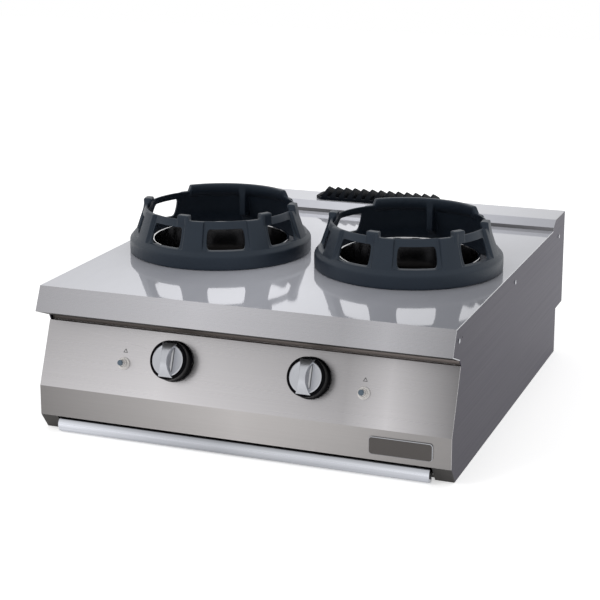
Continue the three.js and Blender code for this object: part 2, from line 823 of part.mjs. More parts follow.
function gasInletPipe() {
  const route = [
    [MANIFOLD_HALF + GAP, MANIFOLD.y, MANIFOLD.z],
    [MANIFOLD_HALF + 22, MANIFOLD.y, MANIFOLD.z],
    [MANIFOLD_HALF + 22, MANIFOLD.y, INLET_Z],
    [INLET_X, MANIFOLD.y, INLET_Z],
    [INLET_X, 425, INLET_Z],
  ];
  const run = pipe(PIPE_RADIUS, route, 18, 48, 8);
  const thread = rod(11, 0, 22, 20).rotateX(Math.PI / 2).translate(INLET_X, 425, INLET_Z);
  return join(run, thread);
}

function burnerRail(y) {
  const reach = HALF_WIDTH - SHEET - GAP;
  const channel = [[y - 12, 150], [y + 12, 150], [y + 12, 169.7], [y - 12, 169.7]];
  return alongX(channel, -reach, reach);
}

place("gas_manifold", gasManifold(), BRASS);
place("gas_inlet_pipe", gasInletPipe(), BRASS);
place("burner_rail_front", burnerRail(BURNER_Y - 26), DARK_STEEL);
place("burner_rail_rear", burnerRail(BURNER_Y + 26), DARK_STEEL);

// ---------------------------------------------------------------- left and right halves

for (const [label, side] of [["left", -1], ["right", 1]]) {
  place(`${label}_front_corner_bracket`, cornerBracket(side), BLACK_IRON);
  place(`${label}_tray_runner`, trayRunner(side), DARK_STEEL);
  ["front", "middle", "rear"].forEach((spot, i) => {
    place(`${label}_side_screw_${spot}`, sideScrew(side, SIDE_SCREWS[i]), POLISHED);
  });

  const hob = new THREE.Group();
  hob.position.set(side * BURNER_X, BURNER_Y, 0);
  range.add(hob);
  const ring = place(`${label}_wok_ring`, wokRing(), CAST_IRON, hob);
  ring.position.z = PLATE_TOP;
  ring.rotation.z = side < 0 ? THREE.MathUtils.degToRad(LEFT_RING_TURN) : 0;
  place(`${label}_burner_well`, burnerWell(), POLISHED, hob);
  place(`${label}_burner_body`, burnerBody(), CAST_IRON, hob);
  place(`${label}_burner_cap`, burnerCap(), CAST_IRON, hob);
  const ignition = [["pilot_burner", pilotBurner(), BRASS]];
  ignition.push(["thermocouple", thermocouple(), BRASS]);
  ignition.push(["spark_electrode", sparkElectrode(), CERAMIC]);
  ignition.forEach(([piece, geometry, material], i) => {
    const mesh = place(`${label}_${piece}`, geometry, material, hob);
    mesh.position.set(IGNITION_PLACES[i][0], IGNITION_PLACES[i][1], 0);
  });

  const knob = panelPlace(side * KNOB_X, KNOB_RISE);
  place(`${label}_knob_body`, knobBody(), BLACK_PLASTIC, knob);
  place(`${label}_knob_face`, knobFace(), SATIN_SILVER, knob);
  place(`${label}_valve_spindle`, valveSpindle(), BRASS, knob);
  place(`${label}_valve_plunger`, valvePlunger(), BRASS, knob);
  place(`${label}_gas_valve`, gasValve(), BRASS, knob);
  const button = panelPlace(side * BUTTON_X, BUTTON_RISE);
  place(`${label}_igniter_bezel`, igniterBezel(), CREAM_PLASTIC, button);
  place(`${label}_igniter_button`, igniterButton(), BLUE_PLASTIC, button);
  place(`${label}_igniter_pack`, igniterPack(), BLACK_PLASTIC, button);

  place(`${label}_injector`, injector().translate(side * BURNER_X, 0, 0), BRASS);
  place(`${label}_feed_pipe`, feedPipe(side), BRASS);
}

export default range;
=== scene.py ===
# %% [markdown]
# # A counter-top wok range
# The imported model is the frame: every node is already in its place, in metres. This file dresses it.
# It starts with the frame, then the camera, the small helpers, the finishes, the pieces and the light.

import json
import math

import bmesh
import bpy
from mathutils import Matrix, Vector


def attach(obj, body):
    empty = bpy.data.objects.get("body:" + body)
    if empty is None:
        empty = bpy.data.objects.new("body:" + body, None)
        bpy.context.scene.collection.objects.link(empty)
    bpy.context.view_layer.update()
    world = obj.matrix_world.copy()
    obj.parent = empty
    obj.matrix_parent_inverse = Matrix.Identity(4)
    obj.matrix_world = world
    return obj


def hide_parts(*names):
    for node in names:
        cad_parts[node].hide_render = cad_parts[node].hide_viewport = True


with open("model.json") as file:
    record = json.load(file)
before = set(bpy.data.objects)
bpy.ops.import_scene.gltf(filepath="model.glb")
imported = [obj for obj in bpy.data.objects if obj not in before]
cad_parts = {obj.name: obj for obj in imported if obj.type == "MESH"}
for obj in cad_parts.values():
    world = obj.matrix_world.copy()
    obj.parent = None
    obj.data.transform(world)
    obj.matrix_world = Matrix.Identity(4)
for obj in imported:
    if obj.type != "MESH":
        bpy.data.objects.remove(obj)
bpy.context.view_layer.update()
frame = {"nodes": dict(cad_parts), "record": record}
nodes = frame["nodes"]
MM = 0.001

# %% [markdown]
# ## Camera
# The photo's camera was worked out from the corners of the case, so the script only sets its place,
# its direction and its lens. Building the matrix from three directions keeps the small roll.

# %% Set the camera
YAW, PITCH, ROLL = math.radians(21.476), math.radians(13.773), math.radians(-0.161)
look = Vector((-math.sin(YAW) * math.cos(PITCH), math.cos(YAW) * math.cos(PITCH), -math.sin(PITCH)))
level = Vector((math.cos(YAW), math.sin(YAW), 0))
upright = level.cross(look)
right = math.cos(ROLL) * level + math.sin(ROLL) * upright
up = math.cos(ROLL) * upright - math.sin(ROLL) * level

CAMERA_PLACE = (1.0914, -3.0131, 1.0885)
FOCAL_LENGTH, SENSOR = 98.574, 36
SHIFT_X, SHIFT_Y = 0.0379, -0.1

lens = bpy.data.cameras.new("camera")
lens.lens, lens.sensor_width = FOCAL_LENGTH, SENSOR
lens.shift_x, lens.shift_y = SHIFT_X, SHIFT_Y
camera = bpy.data.objects.new("camera", lens)
turn = Matrix((right, up, -look)).transposed().to_4x4()
camera.matrix_world = Matrix.Translation(CAMERA_PLACE) @ turn
bpy.context.scene.collection.objects.link(camera)
bpy.context.scene.camera = camera
print("camera at", tuple(round(v, 3) for v in camera.matrix_world.translation))

# %% [markdown]
# ## Shader sums
# A brushed sheet needs noise, products and ramps. Written as node links they are hard to read, so a
# socket is wrapped in a small class: adding or multiplying two of them adds the Math node for it.

# %% Wrap a socket so that it can be used in sums
class Wire:
    def __init__(self, finish, socket):
        self.finish = finish
        self.socket = socket

    def sum(self, operation, first, second):
        return self.finish.node("ShaderNodeMath", {"operation": operation}, {0: first, 1: second})

    def __add__(self, other):
        return self.sum("ADD", self, other)

    def __radd__(self, other):
        return self.sum("ADD", other, self)

    def __mul__(self, other):
        return self.sum("MULTIPLY", self, other)

    def __rmul__(self, other):
        return self.sum("MULTIPLY", other, self)


# %% One method makes every node
class Finish:
    def __init__(self, name, **values):
        self.material = bpy.data.materials.new(name)
        self.material.use_nodes = True
        self.tree = self.material.node_tree
        self.shader = self.tree.nodes["Principled BSDF"]
        for socket, value in values.items():
            self.shader.inputs[socket.replace("_", " ")].default_value = value

    def node(self, kind, settings=None, inputs=None, output=0):
        made = self.tree.nodes.new(kind)
        for key, value in (settings or {}).items():
            if key == "stops":
                set_stops(made.color_ramp, value)
            else:
                setattr(made, key, value)
        for key, value in (inputs or {}).items():
            self.feed(made.inputs[key], value)
        return Wire(self, made.outputs[output])

    def feed(self, socket, value):
        if isinstance(value, Wire):
            self.tree.links.new(value.socket, socket)
        else:
            socket.default_value = value

    def paint(self, **sockets):
        for name, value in sockets.items():
            self.feed(self.shader.inputs[name.replace("_", " ")], value)
        return self


def set_stops(ramp, stops):
    while len(ramp.elements) < len(stops):
        ramp.elements.new(1)
    for element, (place, colour) in zip(ramp.elements, stops):
        element.position = place
        element.color = (*colour, 1)


print("shader helpers ready")

# %% [markdown]
# ## Patterns
# Each finish reads Object coordinates, which are the range's own metres here. Squeezing a noise along
# one axis draws it out into the fine streaks of brushed steel; a plain noise gives casting grain.

# %% Streaks, grain and tints
def place_of(finish, scale=(1, 1, 1)):
    spot = finish.node("ShaderNodeTexCoord", output="Object")
    return finish.node("ShaderNodeMapping", {"vector_type": "POINT"}, {"Vector": spot, "Scale": scale})


def noise(finish, scale, detail=2, size=1.0, rough=0.5):
    spot = place_of(finish, scale)
    inputs = {"Vector": spot, "Scale": size, "Detail": detail, "Roughness": rough}
    return finish.node("ShaderNodeTexNoise", {"noise_dimensions": "3D"}, inputs, "Fac")


def stretched(finish, value, low, high):
    inputs = {"Value": value, "From Min": low, "From Max": high}
    return finish.node("ShaderNodeMapRange", {"clamp": True}, inputs)


def blend_colours(finish, amount, first, second):
    settings = {"data_type": "RGBA", "clamp_factor": True}
    inputs = {0: amount, 6: (*first, 1) if isinstance(first, tuple) else first}
    inputs[7] = (*second, 1) if isinstance(second, tuple) else second
    return finish.node("ShaderNodeMix", settings, inputs, 2)


def raised(finish, height, strength, distance=0.0005):
    inputs = {"Height": height, "Strength": strength, "Distance": distance}
    return finish.node("ShaderNodeBump", None, inputs, "Normal")


def shade(colour, factor):
    return tuple(min(1, channel * factor) for channel in colour)


print("pattern helpers ready")

# %% [markdown]
# ## Steel
# The case is brushed stainless steel. The brushing runs one way over each sheet: across the front,
# front to back on the sides. It shows as faint streaks in colour and a change of gloss.

# %% Brushed steel
FINE = 520.0


def brushed(name, colour, grain, gloss, contrast=0.08, tones=(), fine=FINE, edge=1.0):
    finish = Finish(name, Metallic=1.0, Specular_Tint=(edge, edge, edge, 1))
    along = {"x": (2, fine, fine), "y": (fine, 2, fine)}[grain]
    streak = stretched(finish, noise(finish, along, detail=3, rough=0.6), 0.3, 0.7)
    smear = stretched(finish, noise(finish, (2.2, 2.2, 6), detail=2), 0.3, 0.7)
    amount = 0.6 * streak + 0.4 * smear
    dark, light = shade(colour, 1 - contrast), shade(colour, 1 + contrast)
    tinted = blend_colours(finish, amount, dark, light)
    for tone in tones:
        tinted = toned(finish, tinted, *tone)
    finish.paint(Base_Color=tinted, Roughness=gloss - 0.04 + 0.08 * streak)
    finish.paint(Normal=raised(finish, streak, 0.03, 0.0003))
    return finish.material


def toned(finish, colour, axis, low, high, stops):
    spot = finish.node("ShaderNodeTexCoord", output="Object")
    parts = finish.node("ShaderNodeSeparateXYZ", None, {0: spot}, axis)
    span = {"From Min": low, "From Max": high}
    part = finish.node("ShaderNodeMapRange", None, {"Value": parts, **span})
    ramp = finish.node("ShaderNodeValToRGB", {"stops": stops}, {"Fac": part})
    settings = {"data_type": "RGBA", "blend_type": "MULTIPLY"}
    return finish.node("ShaderNodeMix", settings, {0: 1.0, 6: colour, 7: ramp}, 2)


def ramp_of(*pairs):
    return [(place, (level, level, level)) for place, level in pairs]


# Broad bands painted on the sheets to imitate the reflections of the photo's studio. They follow
# roughly where the photo's sheets are light and dark, and their levels are rounded.
across_panel = ramp_of((0, 0.75), (0.3, 1.0), (0.75, 0.6), (0.85, 0.9), (1, 0.35))
up_panel = ramp_of((0, 1.0), (1, 0.8))
across_fascia = ramp_of((0, 0.4), (0.5, 0.9), (1, 0.5))
across_lip = ramp_of((0, 0.7), (0.4, 1.0), (0.75, 0.7), (0.85, 0.85), (1, 0.55))
across_gap = ramp_of((0, 0.45), (1, 1.0))
along_side = ramp_of((0, 0.75), (1, 1.0))
along_handle = ramp_of((0, 1.0), (0.45, 0.65), (1, 0.9))
up_handle = ramp_of((0, 0.5), (0.7, 1.0), (1, 0.35))

HALF_WIDTH, HALF_DEPTH, HALF_HANDLE, HANDLE_TOP = 0.4, 0.45, 0.36, 0.029
PANEL_LOW, PANEL_HIGH = 0.089, 0.205

panel_tones = (("X", -HALF_WIDTH, HALF_WIDTH, across_panel), ("Z", PANEL_LOW, PANEL_HIGH, up_panel))
handle_tones = (("X", -HALF_HANDLE, HALF_HANDLE, along_handle), ("Z", 0.0, HANDLE_TOP, up_handle))
side_tones = (("Y", -HALF_DEPTH, HALF_DEPTH, along_side),)
lip_tones, fascia_tones, gap_tones = [
    (("X", -HALF_WIDTH, HALF_WIDTH, ramp),) for ramp in (across_lip, across_fascia, across_gap)
]

panel_steel = brushed("panel_steel", (0.66, 0.642, 0.655), "x", 0.30, 0.045, panel_tones)
# The lip and the fascia are the panel's steel painted darker: painted shade on sheets facing the
# front.
lip_steel_shaded = brushed("lip_steel_shaded", (0.525, 0.52, 0.545), "x", 0.28, 0.04, lip_tones)
fascia_steel_shaded = brushed("fascia_steel_shaded", (0.50, 0.48, 0.475), "x", 0.34, 0.045, fascia_tones)
# The sides are the same brushed steel painted very dark: painted shade.
side_steel_shaded = brushed("side_steel_shaded", (0.117, 0.111, 0.138), "y", 0.36, 0.08, side_tones, edge=0.62)
# The rear panel and the flue box are painted darker than the front steel: painted shade.
rear_steel_shaded = brushed("rear_steel_shaded", (0.20, 0.198, 0.21), "x", 0.36, 0.07, edge=0.8)
handle_steel = brushed("handle_steel", (0.765, 0.785, 0.86), "x", 0.18, 0.2, handle_tones, fine=170)
# The upstand behind the lip is painted dark brownish grey: painted shade and a painted reflection of
# the lip's underside.
gap_steel_shaded = brushed("gap_steel_shaded", (0.20, 0.175, 0.165), "x", 0.5, 0.3, gap_tones)
# Under the lip this dark steel is painted shade; on the base frame and the brackets it is their slot's
# finish.
dark_steel = brushed("dark_steel", (0.075, 0.072, 0.07), "x", 0.45, 0.15, edge=0.7)
inner_steel = brushed("inner_steel", (0.42, 0.42, 0.42), "x", 0.42, 0.1)
print("steels:", len(bpy.data.materials))

# %% [markdown]
# The worktop and the bowls are polished, so the rings mirror in them. A very faint, wide noise bends
# the mirror image a little, as pressed sheet does.

# %% Polished steel
def polished(name, colour, gloss, wave=0.04, smears=0.05, metal=1.0, tones=()):
    finish = Finish(name, Metallic=metal)
    cloud = noise(finish, (7, 7, 7), detail=3)
    smear = noise(finish, (30, 6, 30), detail=3, rough=0.7)
    tinted = blend_colours(finish, smear, shade(colour, 1 - smears), shade(colour, 1 + smears))
    for tone in tones:
        tinted = toned(finish, tinted, *tone)
    finish.paint(Base_Color=tinted, Roughness=gloss - 0.03 + 0.06 * smear)
    finish.paint(Normal=raised(finish, cloud, wave, 0.004))
    return finish.material


# Bands painted across the worktop, lighter in the middle, and its bluish tint are painted reflection.
worktop_reflection_bands = ramp_of((0, 0.7), (0.5, 1.0), (1, 0.6))
worktop_tones = (("X", -HALF_WIDTH, HALF_WIDTH, worktop_reflection_bands),)
worktop_colour = (0.725, 0.735, 0.80)
worktop_steel = polished("worktop_steel", worktop_colour, 0.055, 0.02, 0.04, 0.34, worktop_tones)
# The bowl steel is painted very dark: painted shade inside the deep well.
bowl_steel_shaded = polished("bowl_steel_shaded", (0.13, 0.13, 0.135), 0.13, 0.0, 0.15)
collar_steel = polished("collar_steel", (0.62, 0.62, 0.63), 0.1, 0.0, 0.05)
# A pale, half-metal steel for the bevels along the folds: a painted highlight.
edge_highlight_steel = polished("edge_highlight_steel", (0.92, 0.91, 0.92), 0.3, 0.0, 0.03, metal=0.35)
silver = polished("satin_silver", (0.47, 0.48, 0.51), 0.33, 0.0, 0.06)
print("polished steels ready")

# %% [markdown]
# ## Cast iron and the other stuffs
# The wok rings are cast iron with a matt blue-black enamel: a fine grain raised on the surface, and
# small flecks. The burners are bare iron, and the pipes, valves and plastics are plain stock.

# %% Cast iron
def cast(name, colour, fleck, grain, gloss, bump, specular=0.5, tint=(1, 1, 1)):
    finish = Finish(name, Specular_IOR_Level=specular, Specular_Tint=(*tint, 1))
    fine = noise(finish, (grain, grain, grain), detail=4, rough=0.65)
    broad = noise(finish, (18, 18, 18), detail=2)
    flecked = blend_colours(finish, fine * 0.7 + broad * 0.3, colour, fleck)
    finish.paint(Base_Color=flecked, Roughness=gloss - 0.1 + 0.2 * fine)
    finish.paint(Normal=raised(finish, fine, bump, 0.0006))
    return finish.material


BLUE_SHEEN = (0.74, 0.86, 1.0)
ring_colours = (0.003, 0.0045, 0.008), (0.015, 0.023, 0.036)
grille_colours = (0.002, 0.003, 0.005), (0.008, 0.010, 0.014)
ring_iron = cast("ring_iron", *ring_colours, 620, 0.42, 0.5, 0.45, BLUE_SHEEN)
black_iron = cast("black_iron", *grille_colours, 500, 0.45, 0.3, 0.04, BLUE_SHEEN)
burner_iron = cast("burner_iron", (0.045, 0.040, 0.036), (0.12, 0.105, 0.09), 380, 0.62, 0.5)
print("castings ready")

# %% Plastics, brass, aluminium and ceramic
def moulded(name, colour, gloss, coat=0.0, metal=0.0, speck=0.06, specular=0.5):
    finish = Finish(name, Metallic=metal, Coat_Weight=coat, Coat_Roughness=0.06)
    finish.shader.inputs["Specular IOR Level"].default_value = specular
    fine = noise(finish, (900, 900, 900), detail=2)
    cloud = noise(finish, (40, 40, 40), detail=2)
    dark, light = shade(colour, 1 - speck), shade(colour, 1 + speck)
    tinted = blend_colours(finish, 0.5 * fine + 0.5 * cloud, dark, light)
    finish.paint(Base_Color=tinted, Roughness=gloss - 0.04 + 0.08 * cloud)
    finish.paint(Normal=raised(finish, fine, 0.04, 0.0002))
    return finish.material


black_gloss = moulded("black_gloss", (0.002, 0.002, 0.003), 0.16, specular=0.035)
cream = moulded("cream_plastic", (0.79, 0.765, 0.745), 0.3, 0.3)
tip_blue = moulded("blue_plastic", (0.085, 0.125, 0.17), 0.3, 0.2)
brass = moulded("brass", (0.62, 0.44, 0.18), 0.3, metal=1.0)
aluminium = moulded("aluminium", (0.60, 0.60, 0.61), 0.4, metal=1.0)
ceramic = moulded("ceramic", (0.80, 0.78, 0.73), 0.35)
plate_dark = moulded("plate_metal", (0.085, 0.078, 0.075), 0.36, metal=0.6)
white_line = moulded("white_line", (0.86, 0.86, 0.87), 0.5)
# A dark grey for the knob's groove mark: painted shade of a groove.
groove_shade_grey = moulded("groove_shade_grey", (0.09, 0.09, 0.095), 0.5)
mark_ink = moulded("mark_ink", (0.02, 0.02, 0.02), 0.5)
print("materials:", len(bpy.data.materials))

# %% [markdown]
# ## Dressing the sheet metal
# The folded sheets have the right shape already. A copy of each, with its loose triangles merged into
# faces, takes a narrow bevel along the folds. On the top plate and the control panel the bevel faces
# take a pale steel, a painted highlight along the folds.

# %% Copy a node, merge it and soften its edges
SLOT = {row["node"]: row["material_slot"] for row in frame["record"]["subparts"]}
BODIES = frame["record"]["behaviour"]["bodies"]
BODY = {node: body for body, members in BODIES.items() for node in members}
SHARP_ANGLE, FLAT_ANGLE = math.radians(32), math.radians(0.6)
SHEET_WELD, SPIN_WELD, RING_WELD = 0.02 * MM, 0.005 * MM, 0.01 * MM
FOLD_EDGE, FLUE_EDGE, CUT_EDGE = 1.3, 0.9, 0.5


def piece(name, mesh, material, body, slot, *stands_for):
    data = bpy.data.meshes.new(name)
    mesh.to_mesh(data)
    mesh.free()
    made = bpy.data.objects.new(name, data)
    bpy.context.scene.collection.objects.link(made)
    data.materials.append(material)
    for face in data.polygons:
        face.use_smooth = True
    data.set_sharp_from_angle(angle=SHARP_ANGLE)
    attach(made, body)
    if stands_for:
        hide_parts(*stands_for)
    return made


def rounded(made, width, segments=2, angle=30, bright=None):
    edge = made.modifiers.new("edges", "BEVEL")
    if bright:
        made.data.materials.append(bright)
        edge.material = len(made.data.materials) - 1
    edge.width, edge.segments = width * MM, segments
    edge.limit_method, edge.angle_limit = "ANGLE", math.radians(angle)
    edge.harden_normals = True
    return made


def merged(node):
    mesh = bmesh.new()
    mesh.from_mesh(nodes[node].data)
    bmesh.ops.remove_doubles(mesh, verts=mesh.verts, dist=SHEET_WELD)
    bmesh.ops.dissolve_limit(mesh, angle_limit=FLAT_ANGLE, verts=mesh.verts, edges=mesh.edges)
    return mesh


def dressed(node, material, width, segments=2, bright=None):
    made = piece(node + "_dressed", merged(node), material, BODY[node], SLOT[node], node)
    return rounded(made, width, segments, bright=bright) if width else made


print("bodies:", sorted(set(BODY.values())))

# %% [markdown]
# The front shows four strips: the lip and its dark underside, which belong to the top plate, and the
# sloped panel and the fascia, which belong to the control panel. Each takes its own copy of one
# brushed steel, painted darker where less light falls: painted shade on the lip, the fascia, the
# upstand behind the lip and, darkest, the lip's underside. Faces are picked by the way they look and
# where they lie.

# %% Give some faces of a piece another material
def repaint(made, material, wanted):
    made.data.materials.append(material)
    last = len(made.data.materials) - 1
    picked = [face for face in made.data.polygons if wanted(face)]
    for face in picked:
        face.material_index = last
    return len(picked)


LIP_BACK, UNDER_LIP_BACK, UPSTAND_FRONT, UPSTAND_FOOT, FASCIA_TOP = -0.42, -0.39, -0.392, 0.2, 0.095
LOOKS_UP, LOOKS_DOWN, UPRIGHT, LEANS_UP, LOOKS_FRONT = 0.7, -0.3, 0.1, 0.3, -0.98


def on_lip(face):
    return face.normal.z < LOOKS_UP and face.center.y < LIP_BACK


# Faces under the lip are painted dark: painted shade.
def shaded_under_lip(face):
    return face.normal.z < LOOKS_DOWN and face.center.y < UNDER_LIP_BACK


def on_upstand(face):
    return face.center.y > UPSTAND_FRONT and face.center.z > UPSTAND_FOOT


def on_fascia(face):
    return face.normal.z < UPRIGHT and face.center.z < FASCIA_TOP


top = dressed("top_plate", worktop_steel, FOLD_EDGE, bright=edge_highlight_steel)
print("lip faces:", repaint(top, lip_steel_shaded, on_lip))
print("under it:", repaint(top, dark_steel, shaded_under_lip))

front = dressed("control_panel", panel_steel, FOLD_EDGE, bright=edge_highlight_steel)
print("upstand:", repaint(front, gap_steel_shaded, on_upstand))
print("fascia:", repaint(front, fascia_steel_shaded, on_fascia))
dressed("left_side_panel", side_steel_shaded, CUT_EDGE)
dressed("right_side_panel", side_steel_shaded, CUT_EDGE)
flue = dressed("flue_box", rear_steel_shaded, FLUE_EDGE)
print("flue top faces:", repaint(flue, worktop_steel, lambda face: face.normal.z > LEANS_UP))
dressed("rear_panel", rear_steel_shaded, CUT_EDGE)
dressed("base_frame", dark_steel, CUT_EDGE)
dressed("drip_tray", inner_steel, CUT_EDGE)
dressed("tray_handle", handle_steel, 0.6)
for side in ("left", "right"):
    dressed(f"{side}_front_corner_bracket", dark_steel, CUT_EDGE)
    dressed(f"{side}_tray_runner", inner_steel, 0.4)
plate = dressed("name_plate", plate_dark, 0.35)
print("plate border:", repaint(plate, silver, lambda face: face.normal.y > LOOKS_FRONT))
dressed("flue_grille", black_iron, 0.8)
print("sheet pieces dressed")

# %% [markdown]
# ## Turned pieces
# Screws, knobs and bezels are turned on a lathe or moulded in turned moulds. The half outline is a
# chain of a few vertices, and the spin operator carries it round its axis.

# %% Spin a half outline round the Z axis
def turned(outline, steps=96):
    mesh = bmesh.new()
    points = [mesh.verts.new((radius * MM, 0, height * MM)) for radius, height in outline]
    chain = [mesh.edges.new(pair) for pair in zip(points, points[1:])]
    bmesh.ops.spin(
        mesh, geom=points + chain, cent=(0, 0, 0), axis=(0, 0, 1),
        angle=math.tau, steps=steps, use_merge=True,
    )
    bmesh.ops.remove_doubles(mesh, verts=mesh.verts, dist=SPIN_WELD)
    bmesh.ops.recalc_face_normals(mesh, faces=mesh.faces)
    return mesh


def moved(mesh, matrix):
    bmesh.ops.transform(mesh, matrix=matrix, verts=mesh.verts)
    return mesh


def arc(centre, radius, start, end, steps):
    angles = [math.radians(start + (end - start) * i / steps) for i in range(steps + 1)]
    return [(centre[0] + radius * math.cos(a), centre[1] + radius * math.sin(a)) for a in angles]


print("lathe ready")

# %% [markdown]
# The controls sit square on the sloped panel. A matrix made of the panel's own directions, across, up
# the slope and outward, places each piece that is modelled flat on the ground.

# %% Stand a piece on the sloped panel
PANEL_FOLD, PANEL_TOP = Vector((0, -443, 89)), Vector((0, -397, 205))
up_slope = (PANEL_TOP - PANEL_FOLD).normalized()
outward = Vector((1, 0, 0)).cross(up_slope)


def on_panel(x, rise):
    foot = (PANEL_FOLD + up_slope * rise) * MM + Vector((x * MM, 0, 0))
    return Matrix.Translation(foot) @ Matrix(((1, 0, 0), up_slope, outward)).transposed().to_4x4()


KNOB_X, KNOB_RISE, BUTTON_X, BUTTON_RISE = 133.2, 74.2, 233.5, 59.2
print("panel leans", round(math.degrees(math.atan2(up_slope.z, up_slope.y)), 2), "degrees")

# %% [markdown]
# ## Knobs
# A glossy black skirt with a rounded rim carries a silver disc, and the grip arches across the disc.
# The grip's outline from above is waisted, so it starts as a flat waisted shape cut across into rows;
# each row is then lifted to the arch.

# %% Knob skirt and disc
SKIRT = [(0, 31), (31, 31), *arc((33.4, 28.4), 2.6, 90, 0, 6), (35.6, 24), (35.0, 19), (35.2, 13)]
SKIRT += [(36.4, 8.5), (37.8, 6.2), (38.0, 4.6), (37.4, 3.6), (36, 3.6), (32, 8), (0, 8)]
DISC = [(0, 31.3), (30, 31.3), (30, 32), (29.6, 32.4), (28.4, 33.0), (27.6, 32.9), (26.9, 32.6)]
DISC += [(0, 32.6)]

for side, sign in (("left", -1), ("right", 1)):
    there = on_panel(sign * KNOB_X, KNOB_RISE)
    skirt = moved(turned(SKIRT, 128), there)
    piece(f"{side}_knob_skirt", skirt, black_gloss, f"{side}_knob", "black_gloss", f"{side}_knob_body")
    disc = moved(turned(DISC, 128), there)
    piece(f"{side}_knob_disc", disc, silver, f"{side}_knob", "satin_silver", f"{side}_knob_face")
print("skirts and discs ready")

# %% Knob grip: a waisted bar that arches over the disc
GRIP_REACH, GRIP_FOOT, GRIP_RISE, GRIP_END = 31.4, 32.2, 17.0, 1.1
GRIP_WAIST, GRIP_FLARE, GRIP_CROWN = 5.9, 7.7, 0.03
GRIP_SUNK, GRIP_DRAFT = 0.6, 1.12
MARK_THICK = 0.4


def grip_bar():
    mesh = bmesh.new()
    bmesh.ops.create_grid(mesh, x_segments=8, y_segments=32, size=1.0)
    for vert in mesh.verts:
        across, along = vert.co.x, vert.co.y
        half_width = GRIP_WAIST + GRIP_FLARE * along * along
        arch = GRIP_END + GRIP_RISE * (1 - along * along)
        crown = 1 - GRIP_CROWN * across * across
        vert.co = Vector((across * half_width, along * GRIP_REACH, GRIP_FOOT + arch * crown)) * MM
    rim = [edge for edge in mesh.edges if edge.is_boundary]
    walls = bmesh.ops.extrude_edge_only(mesh, edges=rim)["geom"]
    for vert in [item for item in walls if isinstance(item, bmesh.types.BMVert)]:
        vert.co.z = (GRIP_FOOT - GRIP_SUNK) * MM
        vert.co.x *= GRIP_DRAFT
    open_rim = [edge for edge in mesh.edges if edge.is_boundary]
    bmesh.ops.holes_fill(mesh, edges=open_rim, sides=0)
    bmesh.ops.recalc_face_normals(mesh, faces=mesh.faces)
    return mesh


def straight_mark(x, half_width, low, high, lift):
    mesh = bmesh.new()
    bmesh.ops.create_grid(mesh, x_segments=1, y_segments=6, size=1.0)
    for vert in mesh.verts:
        along = (low + high) / 2 + (high - low) / 2 * vert.co.y
        vert.co = Vector((x + half_width * vert.co.x, along, lift)) * MM
    bmesh.ops.solidify(mesh, geom=mesh.faces[:], thickness=MARK_THICK * MM)
    bmesh.ops.recalc_face_normals(mesh, faces=mesh.faces)
    return mesh


LINE_MARK = {"x": 9.0, "half_width": 1.4, "low": -19, "high": 21, "lift": 33.4}
# The groove mark is a thin strip laid on the grip and painted dark grey: painted shade for a groove.
GROOVE_SHADE_MARK = {"x": 11.4, "half_width": 0.55, "low": -20, "high": 23, "lift": 32.95}

for side, sign in (("left", -1), ("right", 1)):
    there = on_panel(sign * KNOB_X, KNOB_RISE)
    grip = piece(f"{side}_knob_grip", moved(grip_bar(), there), silver, f"{side}_knob", "satin_silver")
    rounded(grip, 0.9, 3, 40)
    line = moved(straight_mark(**LINE_MARK), there)
    piece(f"{side}_knob_index_line", line, white_line, f"{side}_knob", "satin_silver")
    groove_shade = moved(straight_mark(**GROOVE_SHADE_MARK), there)
    piece(f"{side}_knob_groove_shade", groove_shade, groove_shade_grey, f"{side}_knob", "satin_silver")
print("grips ready")

# %% [markdown]
# ## Igniter buttons
# Each piezo button is a cream stem with a grey-blue tip, in a stepped bezel. A small dark spark mark
# stands on the panel above it: an open triangle.

# %% Bezels, buttons and spark marks
BEZEL = [(6.4, -5), (8.4, -5), (8.4, 0.3), (11.4, 0.3), (11.7, 0.6), (11.7, 2.0), (11.3, 2.8)]
BEZEL += [(10.4, 3.4), (8.8, 3.6), (8.5, 3.9), (8.2, 9.4), (7.7, 10), (6.7, 10), (6.4, 9.7), (6.4, -5)]
BUTTON = [(0, -6), (6, -6), (6, 15.2), (5.7, 15.8), (5.1, 16.0), (5.0, 17.8)]
BUTTON += [*arc((3.8, 18.2), 1.2, 0, 80, 5), (0, 19.4)]
TIP_FOOT = 15.9
MARK_ABOVE, MARK_LIFT, MARK_RADIUS, MARK_BAND = 23, 0.5, 5.0, 1.7


def spark_mark():
    mesh = bmesh.new()
    bmesh.ops.create_circle(mesh, cap_ends=True, segments=3, radius=MARK_RADIUS * MM)
    whole = mesh.faces[:]
    inset = bmesh.ops.inset_region(mesh, faces=whole, thickness=MARK_BAND * MM, use_boundary=True)
    centre = [face for face in mesh.faces if face not in inset["faces"]]
    bmesh.ops.delete(mesh, geom=centre, context="FACES_ONLY")
    bmesh.ops.solidify(mesh, geom=mesh.faces[:], thickness=MARK_THICK * MM)
    bmesh.ops.recalc_face_normals(mesh, faces=mesh.faces)
    return mesh


